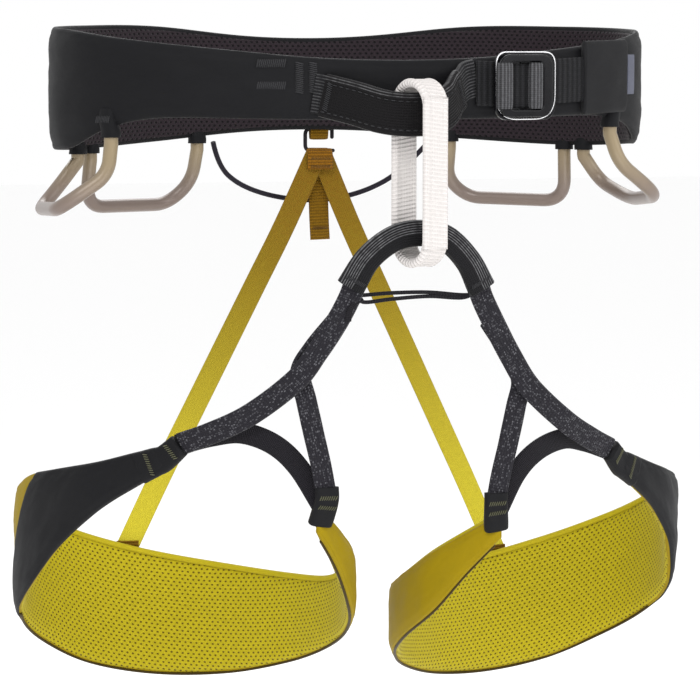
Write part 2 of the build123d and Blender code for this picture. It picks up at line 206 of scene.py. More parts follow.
def facing_front(path):
    """Width directions that keep a strap's face to the front."""
    last = len(path) - 1
    return [FORWARD.cross(path[min(n + 1, last)] - path[max(n - 1, 0)]).normalized() for n in range(last + 1)]


def closed_stations(path, side, width):
    """Stations along a closed route, their width along `side`."""
    stations = []
    for n, centre in enumerate(path):
        travel = (path[(n + 1) % len(path)] - path[n - 1]).normalized()
        stations.append((centre, side, travel.cross(side).normalized(), width))
    return stations


def dress(piece, material, body, replaces=()):
    """Give a piece its material and body, and hide the model's nodes that it stands for."""
    piece.data.materials.clear()
    piece.data.materials.append(material)
    if body:
        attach(piece, body)
    if replaces:
        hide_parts(*replaces)
    return piece


def ripple(along, across, scale_along, scale_across, height, seed):
    """Soft cloth unevenness, in millimetres."""
    return height * noise.noise(Vector((along / scale_along, across / scale_across, seed)))


def crumpled(*scales_height_seed):
    """A relief of one ripple over the whole piece."""
    return lambda along, across, face, half: ripple(along, across, *scales_height_seed)


def ridge(across, half, inset, width):
    """1 on a line `inset` from either edge of a band, fading out over `width`."""
    return math.exp(-((half - abs(across) - inset) / width) ** 2)


# Materials

class Paint:
    """A material made of nodes, with short helpers."""

    def __init__(self, name, colour, roughness=0.7, sheen=0.0, metallic=0.0, coat=0.0, gloss=0.1):
        self.material = bpy.data.materials.new(name)
        self.material.use_nodes = True
        self.tree = self.material.node_tree
        self.shader = self.tree.nodes["Principled BSDF"]
        self.shader.inputs["Base Color"].default_value = (*colour, 1)
        self.shader.inputs["Roughness"].default_value = roughness
        self.shader.inputs["Metallic"].default_value = metallic
        self.shader.inputs["Coat Weight"].default_value = coat
        self.shader.inputs["Sheen Weight"].default_value = sheen
        self.shader.inputs["Sheen Roughness"].default_value = 0.5
        self.shader.inputs["Specular IOR Level"].default_value = gloss

    def node(self, kind):
        """A new shader node."""
        return self.tree.nodes.new("ShaderNode" + kind)

    def link(self, source, target):
        self.tree.links.new(source, target)

    def math(self, operation, first, second=None, third=None):
        made = self.node("Math")
        made.operation = operation
        for index, value in enumerate((first, second, third)):
            if value is None:
                continue
            if isinstance(value, (int, float)):
                made.inputs[index].default_value = value
            else:
                self.link(value, made.inputs[index])
        return made.outputs[0]

    def cloth(self):
        """(along, across) in metres."""
        place = self.node("UVMap")
        place.uv_map = "cloth"
        split = self.node("SeparateXYZ")
        self.link(place.outputs["UV"], split.inputs[0])
        return place.outputs["UV"], split.outputs[0], split.outputs[1]

    def place(self):
        """The point in the object's own frame, in metres."""
        return self.node("TexCoord").outputs["Object"]

    def stretched(self, vector, scale):
        """A vector with each axis multiplied."""
        mapping = self.node("Mapping")
        mapping.inputs["Scale"].default_value = scale
        self.link(vector, mapping.inputs["Vector"])
        return mapping.outputs["Vector"]

    def noise(self, vector, scale, detail=2, stretch=None):
        if stretch:
            vector = self.stretched(vector, stretch)
        made = self.node("TexNoise")
        made.inputs["Scale"].default_value = scale
        made.inputs["Detail"].default_value = detail
        self.link(vector, made.inputs["Vector"])
        return made.outputs["Fac"]

    def mix(self, share, first, second):
        made = self.node("Mix")
        made.data_type = "RGBA"
        self.link(share, made.inputs["Factor"])
        for value, socket in ((first, made.inputs["A"]), (second, made.inputs["B"])):
            if isinstance(value, tuple):
                socket.default_value = (*value, 1)
            else:
                self.link(value, socket)
        return made.outputs["Result"]

    def colour(self, source):
        self.link(source, self.shader.inputs["Base Color"])

    def bump(self, height, distance, strength):
        made = self.node("Bump")
        made.inputs["Distance"].default_value = distance
        made.inputs["Strength"].default_value = strength
        self.link(height, made.inputs["Height"])
        self.link(made.outputs["Normal"], self.shader.inputs["Normal"])

    def ramp(self, source, low=0.0, high=1.0, to_low=0.0, to_high=1.0, kind="SMOOTHSTEP"):
        """source from low to high becomes to_low to to_high."""
        made = self.node("MapRange")
        made.interpolation_type = kind
        for key, value in (("From Min", low), ("From Max", high), ("To Min", to_low), ("To Max", to_high)):
            made.inputs[key].default_value = value
        self.link(source, made.inputs["Value"])
        return made.outputs["Result"]

    def wave(self, value, pitch):
        """0 to 1 and back, once every pitch metres."""
        turned = self.math("MULTIPLY", value, 2 * math.pi / pitch)
        return self.math("MULTIPLY_ADD", self.math("SINE", turned), 0.5, 0.5)


def tint(colour, factor):
    """A colour made lighter or darker."""
    return tuple(c * factor for c in colour)


def plain_cloth(name, colour, roughness, sheen, tone_and_crease_shade=0.25, thread=0.0006):
    """A fine plain weave with soft creases, slight random unevenness of colour, and painted shade in the crease
    hollows with painted light on their ridges.
    """
    paint = Paint(name, colour, roughness, sheen)
    vector, along, across = paint.cloth()
    weave = paint.math("MULTIPLY", paint.wave(along, thread), paint.wave(across, thread))
    crease = paint.noise(vector, 26, 3, (1, 2.4, 1))
    fine = paint.noise(vector, 240, 2)
    # The crease noise that bumps the cloth sets most of its colour: painted shade in the hollows, painted light on
    # the ridges; the fine noise is random tone.
    paint.colour(paint.mix(paint.math("MULTIPLY_ADD", fine, 0.4, paint.math("MULTIPLY", crease, 0.6)),
                           tint(colour, 1 - tone_and_crease_shade), tint(colour, 1 + tone_and_crease_shade)))
    height = paint.math("MULTIPLY_ADD", weave, 0.06, crease)
    paint.bump(height, 0.0016, 0.7)
    return paint.material


def pore_mesh(name, colour, pore_shade, size):
    """Spacer mesh: a knitted face with staggered oval pores, painted dark inside: painted shade down in the holes.
    """
    pitch_along, pitch_across = 0.0034, 0.0044
    paint = Paint(name, colour, sheen=0.06)
    vector, along, across = paint.cloth()
    distances = []
    for shift in (0.0, 0.5):
        cell = []
        for value, pitch, weight in ((along, pitch_along, 1.0), (across, pitch_across, 1.75)):
            inside = paint.math("FRACT", paint.math("MULTIPLY_ADD", value, 1 / pitch, 100 + shift))
            centred = paint.math("SUBTRACT", inside, 0.5)
            cell.append(paint.math("POWER", paint.math("ABSOLUTE", paint.math("MULTIPLY", centred, weight)), 2))
        distances.append(paint.math("SQRT", paint.math("ADD", cell[0], cell[1])))
    nearest = paint.math("MINIMUM", distances[0], distances[1])
    solid = paint.ramp(nearest, size * 0.55, size * 1.25)
    fine = paint.noise(vector, 300, 2)
    face = paint.mix(fine, tint(colour, 0.82), tint(colour, 1.15))
    # Painted shade: the pores take the dark pore colour, standing for the shade down in the holes.
    paint.colour(paint.mix(solid, pore_shade, face))
    paint.bump(paint.math("MULTIPLY_ADD", fine, 0.15, solid), 0.0009, 0.8)
    return paint.material


def webbing(name, colour, pitch=0.0015, light=1.5, sheen=0.04, roughness=0.7, slope=0.0, dark=0.55):
    """Woven webbing with ribs across it, broken up by its threads; painted light on the crests of ribs and threads
    and painted shade between them, over a random tone.
    """
    paint = Paint(name, colour, roughness, sheen)
    vector, along, across = paint.cloth()
    lean = paint.math("MULTIPLY_ADD", across, slope, along)
    rib = paint.wave(lean, pitch)
    thread = paint.wave(across, 0.0011)
    fine = paint.noise(vector, 500, 1)
    height = paint.math("MULTIPLY_ADD", thread, 0.35, rib)
    # Painted light and shade: the share follows the rib and thread height, so crests take the light tint and
    # hollows the dark one.
    share = paint.math("MULTIPLY", paint.math("MULTIPLY_ADD", fine, 0.6, 0.35), height)
    paint.colour(paint.mix(share, tint(colour, dark), tint(colour, light)))
    paint.bump(height, 0.0005, 0.9)
    return paint.material


def speckled(name, colour, speck, amount):
    """Tubular webbing with light flecks in rows."""
    paint = Paint(name, colour, 0.7, 0.04)
    vector, along, across = paint.cloth()
    cells = paint.node("TexVoronoi")
    cells.inputs["Scale"].default_value = 1
    cells.inputs["Randomness"].default_value = 0.35
    paint.link(paint.stretched(vector, (720, 1150, 1)), cells.inputs["Vector"])
    split = paint.node("SeparateColor")
    paint.link(cells.outputs["Color"], split.inputs[0])
    fleck = paint.math("GREATER_THAN", split.outputs[0], 1 - amount)
    near = paint.math("LESS_THAN", cells.outputs["Distance"], 0.42)
    share = paint.math("MULTIPLY", fleck, near)
    share = paint.math("MULTIPLY", share, split.outputs[1])
    paint.colour(paint.mix(share, colour, speck))
    height = paint.math("MULTIPLY_ADD", paint.wave(along, 0.0017), 0.7, paint.wave(across, 0.0016))
    paint.bump(height, 0.0005, 0.9)
    return paint.material


def ribbed(name, colour, line, pitch, low=None):
    """Dense wear fabric with fine light ribs along its length, plain below `low` metres across."""
    paint = Paint(name, colour, 0.6, 0.04)
    vector, along, across = paint.cloth()
    rib = paint.math("POWER", paint.wave(across, pitch), 3)
    broken = paint.math("MULTIPLY_ADD", paint.noise(vector, 420, 1, (1, 0.4, 1)), 1.1, -0.1)
    share = paint.math("MULTIPLY", rib, broken)
    if low is not None:
        share = paint.math("MULTIPLY", share, paint.math("GREATER_THAN", across, low))
    paint.colour(paint.mix(share, colour, line))
    paint.bump(paint.math("MULTIPLY_ADD", paint.wave(along, 0.0012), 0.3, rib), 0.0004, 0.9)
    return paint.material


def riser_yellow_shaded_top(name, top, bottom, length):
    """Yellow elastic webbing, darker and browner near its top: painted shade under the belt."""
    paint = Paint(name, bottom, 0.6, 0.05)
    vector, along, across = paint.cloth()
    fine = paint.noise(vector, 420, 2)
    # Painted shade: the brown top colour fades into the yellow over `length`; worn adds random darker flecks.
    base = paint.mix(paint.ramp(along, 0.0, length), top, bottom)
    worn = paint.mix(paint.math("MULTIPLY", fine, 0.35), base, tint(bottom, 0.4))
    paint.colour(worn)
    height = paint.math("MULTIPLY_ADD", paint.wave(along, 0.0013), 0.5, paint.wave(across, 0.0013))
    paint.bump(height, 0.0003, 0.7)
    return paint.material


def tubing(name, top, low):
    """Satin moulded tubing, warmer above and pinker below."""
    paint = Paint(name, top, 0.36, 0.0, 0.1, 0.1, 0.4)
    place = paint.place()
    split = paint.node("SeparateXYZ")
    paint.link(place, split.inputs[0])
    smear = paint.noise(place, 60, 3)
    base = paint.mix(paint.ramp(split.outputs[2], -0.066, -0.035), low, top)
    paint.colour(paint.mix(paint.math("MULTIPLY", smear, 0.3), base, tint(low, 0.6)))
    paint.bump(paint.noise(place, 900, 2), 0.0001, 0.4)
    return paint.material


def gloss_black(name, colour=(0.004, 0.004, 0.005), roughness=0.14):
    """Anodised plate with a light haze of handling marks."""
    paint = Paint(name, colour, roughness, gloss=0.16)
    place = paint.place()
    haze = paint.noise(place, 130, 4)
    rough = paint.ramp(haze, to_low=roughness * 0.7, to_high=roughness * 1.8, kind="LINEAR")
    paint.link(rough, paint.shader.inputs["Roughness"])
    paint.colour(paint.mix(haze, tint(colour, 0.7), tint(colour, 1.6)))
    paint.bump(paint.noise(place, 1500, 2), 0.00003, 0.3)
    return paint.material


def bright_metal(name):
    """Bare aluminium at a plate's cut edge."""
    paint = Paint(name, (0.75, 0.75, 0.76), 0.25, 0.0, 1.0)
    place = paint.place()
    marks = paint.noise(place, 900, 3)
    paint.colour(paint.mix(marks, (0.5, 0.5, 0.52), (0.85, 0.85, 0.86)))
    paint.bump(marks, 0.00004, 0.4)
    return paint.material


def thread(name, colour):
    """Twisted sewing thread."""
    paint = Paint(name, colour, 0.5, 0.05)
    place = paint.place()
    twist = paint.noise(place, 2600, 1)
    paint.colour(paint.mix(twist, tint(colour, 0.6), tint(colour, 1.5)))
    paint.bump(twist, 0.0001, 0.6)
    return paint.material


studio()

CHARCOAL = plain_cloth("belt_cloth", (0.0055, 0.0055, 0.0065), 0.55, 0.012, tone_and_crease_shade=0.25)
PANEL = plain_cloth("leg_panel_cloth", (0.0065, 0.0065, 0.0075), 0.55, 0.012, tone_and_crease_shade=0.3)
# The mesh's third colour is painted shade down in its pores.
BELT_MESH = pore_mesh("belt_mesh_cloth", (0.016, 0.011, 0.014), (0.002, 0.001, 0.002), 0.26)
LEG_CLOTH = plain_cloth("leg_cloth", (0.25, 0.175, 0.001), 0.6, 0.01, tone_and_crease_shade=0.14)
BINDING = plain_cloth("leg_binding_cloth", (0.37, 0.30, 0.008), 0.6, 0.02, tone_and_crease_shade=0.12)
# The mesh's third colour is painted shade down in its pores.
LEG_MESH = pore_mesh("leg_mesh_cloth", (0.36, 0.295, 0.006), (0.10, 0.065, 0.0), 0.2)
BLACK_ELASTIC = webbing("black_elastic", (0.012, 0.011, 0.014), 0.0009, 1.5)
WHITE_WEB = webbing("white_webbing", (0.60, 0.57, 0.555), 0.0021, 1.08, 0.02, 0.8, slope=0.12, dark=0.9)
RISER_WEB = speckled("riser_webbing", (0.015, 0.014, 0.018), (0.10, 0.10, 0.11), 0.4)
RIB_SLEEVE = ribbed("ribbed_sleeve", (0.006, 0.006, 0.007), (0.26, 0.26, 0.27), 0.00125, -0.0005)
TIE_WEB = ribbed("tie_in_webbing", (0.006, 0.006, 0.007), (0.11, 0.11, 0.115), 0.0016)
SLEEVE_TOP = ribbed("tie_in_sleeve_cloth", (0.004, 0.0035, 0.004), (0.16, 0.16, 0.165), 0.0014, 0.0078)
TAIL_WEB = webbing("tail_webbing", (0.008, 0.008, 0.009), 0.0036, 2.0)
# A lit copy of the tail webbing, lighter with brighter crests: painted highlight where the folds round the buckle
# bars catch the light.
LIT_FOLD_WEB = webbing("fold_webbing_painted_highlight", (0.030, 0.030, 0.032), 0.0019, 3.2)
KEEPER = plain_cloth("keeper_cloth", (0.010, 0.010, 0.011), 0.6, 0.02, tone_and_crease_shade=0.15)
LABEL = plain_cloth("label_cloth", (0.085, 0.09, 0.12), 0.5, 0.02)
BRONZE = tubing("gear_tubing", (0.24, 0.185, 0.105), (0.17, 0.13, 0.11))
GLOSS = gloss_black("buckle_gloss")
HOOK_COAT = gloss_black("hook_coat", (0.008, 0.006, 0.008), 0.35)
EDGE = bright_metal("buckle_edge")
THREAD = thread("black_thread", (0.022, 0.022, 0.024))
# The brown top colour is painted shade; the lower part is the riser's own yellow.
YELLOW_WEB_SHADED_TOP = riser_yellow_shaded_top("yellow_webbing", (0.16, 0.07, 0.002), (0.58, 0.50, 0.03), 0.30)
YELLOW_BLOCK = webbing("yellow_block", (0.20, 0.085, 0.004), 0.0018, 1.4)
PIPING = thread("leg_piping", (0.035, 0.022, 0.002))
BROWN_THREAD = thread("brown_thread", (0.10, 0.05, 0.01))
TAB_THREAD = thread("tab_thread", (0.07, 0.07, 0.04))
YELLOW_TAIL = webbing("yellow_tail_webbing", (0.15, 0.075, 0.002), 0.0018, 1.4, dark=0.7)
CORD = webbing("cord_sheath", (0.014, 0.012, 0.018), 0.0012, 1.6, slope=0.6)


# Tubes, stitches and plates

def rounded(route, share=0.5, steps=9):
    """A route with its corners rounded: each corner a curve between points on the runs beside it."""
    p = [Vector(q) for q in route]
    path = [p[0]]
    for before, here, after in zip(p, p[1:], p[2:]):
        back, ahead = before - here, after - here
        reach = min(back.length, ahead.length) * share
        a, b = here + back.normalized() * reach, here + ahead.normalized() * reach
        for n in range(steps + 1):
            t = n / steps
            path.append(a * (1 - t) ** 2 + here * (2 * t * (1 - t)) + b * t ** 2)
    path.append(p[-1])
    rows = [path[0]]
    for q in path[1:]:
        if (q - rows[-1]).length > 0.05:
            rows.append(q)
    return rows


def tube(name, path, radius, around):
    """A round tube along a path, its ends domed."""
    side = None
    rings, places, along = [], [], 0.0
    count = len(path)
    for n, point in enumerate(path):
        travel = (path[min(n + 1, count - 1)] - path[max(n - 1, 0)]).normalized()
        start = side or (UP if abs(travel.z) < 0.9 else FORWARD)
        side = (start - travel * start.dot(travel)).normalized()
        normal = travel.cross(side)
        along += (point - path[max(n - 1, 0)]).length
        steps = [(0.0, 1.0)]
        if n in (0, count - 1):
            dome = [(-math.sin(a), math.cos(a)) for a in (1.45, 1.1, 0.75, 0.4, 0.0)]
            steps = dome if n == 0 else [(-s, c) for s, c in reversed(dome)]
        for shift, size in steps:
            ring, place = [], []
            for k in range(around):
                a = -2 * math.pi * k / around
                ring.append(point + travel * (shift * radius)
                            + (side * math.cos(a) + normal * math.sin(a)) * (radius * size))
                place.append((along + shift * radius, k * 2 * math.pi * radius / around))
            rings.append(ring)
            places.append(place)
    return tube_mesh(name, rings, places)


def stitches(name, runs, radius):
    """Sewing thread: runs are (start, end, outward direction), each a short raised stitch; one mesh."""
    points, faces = [], []
    shape = [(0.0, 0.25, 0.1), (0.14, 0.85, 0.7), (0.5, 1.0, 1.0), (0.86, 0.85, 0.7), (1.0, 0.25, 0.1)]
    around = 6
    for start, end, outward in runs:
        travel = (end - start).normalized()
        side = travel.cross(outward).normalized()
        base = len(points)
        for t, size, rise in shape:
            centre = start.lerp(end, t) + outward * (radius * (rise - 0.5))
            for k in range(around):
                a = 2 * math.pi * k / around
                points.append(tuple((centre + side * (radius * size * math.cos(a))
                                     + outward * (radius * size * math.sin(a))) * MM))
        for r in range(len(shape) - 1):
            for k in range(around):
                m = (k + 1) % around
                faces.append((base + r * around + k, base + r * around + m,
                              base + (r + 1) * around + m, base + (r + 1) * around + k))
        faces.append(tuple(base + k for k in range(around - 1, -1, -1)))
        faces.append(tuple(base + (len(shape) - 1) * around + k for k in range(around)))
    mesh = bpy.data.meshes.new(name)
    mesh.from_pydata(points, [], faces)
    mesh.shade_smooth()
    return add(name, mesh)


def edge_seam(stations, across):
    """A row of stitches along a band's face, `across` millimetres from its middle."""
    stitch, gap, lift = 2.2, 1.3, 3.15
    path = [centre + side * across for centre, side, _, _ in stations]
    lengths = [0.0]
    for a, b in zip(path, path[1:]):
        lengths.append(lengths[-1] + (b - a).length)
    table = np.array([(*point, *station[2]) for point, station in zip(path, stations)], float)

    def at(distance):
        row = [float(np.interp(distance, lengths, table[:, k])) for k in range(6)]
        outward = Vector(row[3:]).normalized()
        return Vector(row[:3]) + outward * lift, outward

    runs = []
    distance = gap
    while distance + stitch < lengths[-1]:
        a, outward = at(distance)
        b, _ = at(distance + stitch)
        runs.append((a, b, outward))
        distance += stitch + gap
    return runs


def tack_runs(centre, long_way, outward, length, width, pitch=0.95):
    """A bar tack: close zigzag stitches over `length`, each as long as `width`."""
    across = outward.cross(long_way).normalized()
    count = max(3, int(length / pitch))
    runs = []
    for n in range(count):
        here = centre + long_way * (length * ((n + 0.5) / count - 0.5))
        lean = long_way * (pitch * 0.5)
        runs.append((here - across * (width / 2) - lean, here + across * (width / 2) + lean, outward))
    return runs


def plate(name, origin, x_dir, y_dir, size, radius, windows, thickness, bevel):
    """A flat plate with rounded windows and softened edges."""
    z_dir = x_dir.cross(y_dir)
    curve = bpy.data.curves.new(name, "CURVE")
    curve.dimensions = "2D"
    curve.fill_mode = "BOTH"
    curve.extrude = (thickness / 2 - bevel) * MM
    curve.bevel_depth = bevel * MM
    curve.bevel_resolution = 3
    curve.offset = -bevel * MM
    for (cx, cy), (w, h), r in [((0, 0), size, radius)] + windows:
        spline = curve.splines.new("POLY")
        corners = []
        for sx, sy, start in ((1, 1, 0), (-1, 1, 90), (-1, -1, 180), (1, -1, 270)):
            for n in range(7):
                a = math.radians(start + 15 * n)
                corners.append((cx + sx * (w / 2 - r) + r * math.cos(a), cy + sy * (h / 2 - r) + r * math.sin(a)))
        if (w, h) != size:
            corners.reverse()
        spline.points.add(len(corners) - 1)
        for point, (x, y) in zip(spline.points, corners):
            point.co = (x * MM, y * MM, 0, 1)
        spline.use_cyclic_u = True
    shape = add(name + "_shape", curve)
    bpy.context.view_layer.update()
    mesh = bpy.data.meshes.new_from_object(shape.evaluated_get(bpy.context.evaluated_depsgraph_get()))
    bpy.data.objects.remove(shape)
    turn = np.array([x_dir, y_dir, z_dir]).T
    flat = np.array([v.co for v in mesh.vertices])
    placed = flat @ turn.T + np.array(origin) * MM
    mesh.vertices.foreach_set("co", placed.astype(np.float32).ravel())
    mesh.shade_flat()
    mesh.name = name
    return add(name, mesh)


# The waist belt

BELT_TOP = [(-112, 13), (-104, 14), (-85, 20), (-55, 25.6), (-25, 30), (0, 31.3), (50, 33), (85, 33), (104, 26),
            (112, 22)]
BELT_BOTTOM = [(-112, -17), (-104, -17), (-72, -16), (-50, -21), (-25, -32), (0, -34), (50, -36), (85, -33),
               (104, -27), (112, -24)]


def edge_height(edge, y):
    """An edge's height at a place between the belt's front and its back."""
    rows = smooth([(a, b, 0) for a, b in edge], 160)
    return float(np.interp(y, rows[:, 0], rows[:, 1]))


def belt_point(angle, out=0.0, z=0.0):
    """A point `out` from the belt's outer face, `angle` degrees round from its +x side."""
    a = math.radians(angle)
    return Vector(((BELT_A + out) * math.cos(a), (BELT_B + out) * math.sin(a), z))


def belt_travel(angle):
    """The direction along the belt at an angle."""
    a = math.radians(angle)
    return Vector((-BELT_A * math.sin(a), BELT_B * math.cos(a), 0)).normalized()


def belt_stations(out, inset):
    """Stations round the whole belt, their centres set out from its outer face."""
    stations, count = [], 260
    for n in range(count):
        angle = 360 * n / count
        y = belt_point(angle).y
        top, bottom = edge_height(BELT_TOP, y) - inset, edge_height(BELT_BOTTOM, y) + inset
        normal = belt_travel(angle).cross(UP)
        stations.append((belt_point(angle, out, (top + bottom) / 2), UP, normal, top - bottom))
    return stations


def belt_relief(along, across, face, half):
    """Soft wrinkles and a sewn edge line on the belt's cloth."""
    if face < 0:
        return 0
    seam = -0.5 * ridge(across, half, 3.2, 0.9)
    return seam + ripple(along, across, 34, 9, 0.9, 3) + ripple(along, across, 13, 7, 0.35, 9)


def make_belt():
    """The padded belt: one cloth cover all round and a mesh lining inside it."""
    shell = band("belt_cover", belt_stations(-BELT_T / 2, 0), BELT_T, squareness=5, across=22, relief=belt_relief,
                 loop=True)
    dress(shell, CHARCOAL, "waist_belt", ("belt_shell", "belt_foam_core", "belt_load_strap"))
    liner = band("belt_inner_mesh", belt_stations(-BELT_T + 0.5, 2.2), 1.7, squareness=8, across=16, loop=True,
                 relief=crumpled(30, 14, 0.4, 5))
    dress(liner, BELT_MESH, "waist_belt", ("belt_mesh_liner",))


# Everything sewn to the belt

def along_belt(start, end, z_start, z_end, width, out, count=40):
    """Stations of a strap that lies along the belt's outer face."""
    stations = []
    for n in range(count):
        share = n / (count - 1)
        angle = start + (end - start) * share
        z = z_start + (z_end - z_start) * share
        stations.append((belt_point(angle, out, z), UP, belt_travel(angle).cross(UP), width))
    return stations


def belt_tack(angle, z, width, height):
    """The runs of one bar tack on the belt, its stitches across its longer way."""
    travel = belt_travel(angle)
    long_way = travel if width > height else UP
    return tack_runs(belt_point(angle, 0.2, z), long_way, travel.cross(UP), max(width, height), min(width, height))


def make_belt_trim():
    """Bar tacks, the buckle's webbing on both sides, the keeper over its tail, and a plain label."""
    front = []
    for tack in ((-114, 12.5, 15, 4.5), (-114, 1, 15, 4.5), (-108.8, 5, 4.5, 16), (-106.3, 5, 4.5, 16)):
        front += belt_tack(*tack)
    dress(stitches("front_bartack_stitches", front, 0.42), THREAD, "waist_belt", ("front_bartacks",))

    anchor = band("buckle_anchor", along_belt(-76, -63, 2, 1, 24, 1.2), 1.9, squareness=8)
    dress(anchor, TAIL_WEB, "waist_belt", ("buckle_anchor_webbing",))
    tail_strap = band("belt_tail", along_belt(-60.5, -41, 2.6, 5, 24, 1.6), 1.9, squareness=8)
    dress(tail_strap, TAIL_WEB, "belt_tail", ("belt_tail_webbing",))
    cover = along_belt(-50.8, -35.6, 4.5, 5.5, 39.5, 2.5, 50)
    keeper = band("tail_keeper", cover, 4.2, squareness=10, across=16,
                  relief=lambda u, v, face, half: ripple(u, v, 16, 12, 0.5, 4) if face > 0 else 0)
    dress(keeper, KEEPER, "waist_belt", ("webbing_keeper",))
    label = band("size_label", along_belt(-31.8, -27.3, 6, 6, 22, 0.5, 12), 0.7)
    dress(label, LABEL, "waist_belt", ("inner_label",))

TIE_ROUTE = [(-42, -100.5, -4), (-28, -110, -8), (-16, -118, -12), (-6, -121.6, -13.5), (4, -122, -13.6),
             (13, -120.6, -13), (21, -115.5, -9), (27, -109, -3), (34, -101.5, 2.5)]


def make_tie_in():
    """The tie-in strap stands off the belt's front, in a sleeve of wear fabric sewn along both edges."""
    ends = [(-47, -98.4, -3)] + TIE_ROUTE + [(41, -98.6, 4.5)]
    strap = band("tie_in_strap", frames(ends, UP, 21, 90), 3.3, squareness=8)
    dress(strap, TIE_WEB, "waist_belt", ("tie_in_loop",))
    stations = frames(TIE_ROUTE, UP, 22.8, 90)[:-7]

    def sewn_edges(along, across, face, half):
        return face * (0.3 * ridge(across, half, 1.2, 0.8) + ripple(along, across, 11, 7, 0.3, 2))

    sleeve = band("tie_in_sleeve", stations, 5.2, lift=0.5, squareness=9, across=14, relief=sewn_edges)
    dress(sleeve, SLEEVE_TOP, "waist_belt", ("tie_in_wear_sleeve",))
    runs = edge_seam(stations, 6.6) + edge_seam(stations, -8.2)
    for centre, side, normal, width in (stations[3], stations[-4]):
        runs += tack_runs(centre + normal * 3.15, side, normal, 15, 3.0)
    dress(stitches("tie_in_stitches", runs, 0.32), THREAD, "waist_belt")


def make_buckle():
    """A back plate on the belt, a front plate that tilts, and the webbing folded round its two bars."""
    angle, out = -66.5, 3.4
    x_dir, normal = belt_travel(angle), belt_travel(angle).cross(UP)
    origin = belt_point(angle, out, 0.6)

    def at(x, y, lift):
        return origin + x_dir * x + UP * y + normal * lift

    back = plate("buckle_back", at(0, 0, 1.1), x_dir, UP, (38, 36), 7,
                 [((-11, 0), (6, 25), 2), ((4.5, 0), (18, 25), 2)], 2.2, 0.5)
    dress(back, GLOSS, "waist_belt", ("buckle_back_plate",))
    corners = (0, 17.6), (18.6, 17.6), (18.6, -17.6), (-18.6, -17.6), (-18.6, 17.6), (0, 17.6)
    rim = rounded([at(x, y, 1.9) for x, y in corners], 0.36, 8)
    dress(tube("buckle_rim", rim, 0.42, 10), EDGE, "waist_belt")
    front = plate("buckle_front", at(-1.5, 0, 4.1), x_dir, UP, (33, 33), 6,
                  [((0, 0), (21, 25), 3)], 2.8, 0.9)
    dress(front, GLOSS, "buckle_plate", ("buckle_front_plate",))
    for name, x, reach in (("left", -14.8, 4.1), ("right", 4.8, 3.4)):
        wrap = []
        for n in range(40):
            c, s = math.cos(2 * math.pi * n / 40), math.sin(2 * math.pi * n / 40)
            bulge = 1 / (abs(c) ** 3 + abs(s) ** 3) ** (1 / 3)
            wrap.append(at(x + reach * c * bulge, 0, 4.1 + 2.2 * s * bulge))
        fold = band("buckle_fold_" + name, closed_stations(wrap, UP, 24.4), 1.3, squareness=8, across=12,
                    loop=True)
        # The folds take the lit copy of the tail webbing: painted highlight.
        dress(fold, LIT_FOLD_WEB, "buckle_plate")
    under_path = [at(x, 0, lift) for x, lift in ((-10.5, 1.6), (-4, 2.4), (4, 1.6), (13, 0.0), (19, -1.0))]
    under = frames(under_path, UP, 23.5, 24)
    dress(band("buckle_inner_webbing", under, 1.2, squareness=8), TAIL_WEB, "waist_belt")

GEAR_LOOPS = {
    "front_left": [(-144, -48, -30), (-146, -49, -46), (-172, -47, -64), (-168, 36, -68), (-157, 44, -57),
                   (-145, 46, -42)],
    "rear_left": [(-136, 57, -42), (-138, 62, -69), (-84, 97, -70), (-69, 97, -57), (-67, 91, -38)],
    "front_right": [(131, -60.5, -26), (136, -62, -42), (162, -55, -61), (170, 8, -66), (162, 36, -57),
                    (152, 38, -42)],
    "rear_right": [(144, 49, -42), (146, 53, -69), (98, 90, -68), (86, 93, -57), (85, 85.2, -38)],
}


def make_gear_loops():
    """Moulded tubes that bend where they leave the sewn pockets in the belt's lower edge."""
    tacks = []
    for place, route in GEAR_LOOPS.items():
        name = "gear_loop_" + place
        near, far = Vector(route[0]), Vector(route[-1])
        path = [near + UP * rise for rise in (5, 4, 3, 2, 1)] + rounded(route, 0.5, 14)
        path += [far + UP * rise for rise in (1, 2, 3, 4, 5)]
        loop_tube = tube(name + "_tube", path, 3.8, 24)
        dress(loop_tube, BRONZE, None, (name,))
        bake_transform(loop_tube)
        for end, (x, y, z) in enumerate((route[0], route[-1])):
            angle = math.degrees(math.atan2(y / BELT_B, x / BELT_A))
            outward = belt_travel(angle).cross(UP)
            foot = Vector((x, y, z))
            top = belt_point(angle, -2.2, z + 19)
            line = smooth([foot + UP * 3.5, foot + UP * 7, top - UP * 6, top], 26)
            stations = [(Vector(p), belt_travel(angle), outward, 10.6) for p in line]
            sleeve = band(name + "_pocket_" + "ab"[end], stations, 9.2, squareness=3, across=12,
                          relief=lambda u, v, face, half: -face * 3.4 * (u / 20) ** 2
                          + ripple(u, v, 8, 5, 0.3, end))
            dress(sleeve, CHARCOAL, "waist_belt")
            if not -50 < angle < -35:
                tacks += tack_runs(belt_point(angle, 1.3, z + 13), belt_travel(angle), outward, 9, 4)
    dress(stitches("gear_loop_tack_stitches", tacks, 0.42), THREAD, "waist_belt",
          ("gear_loop_bartacks",))


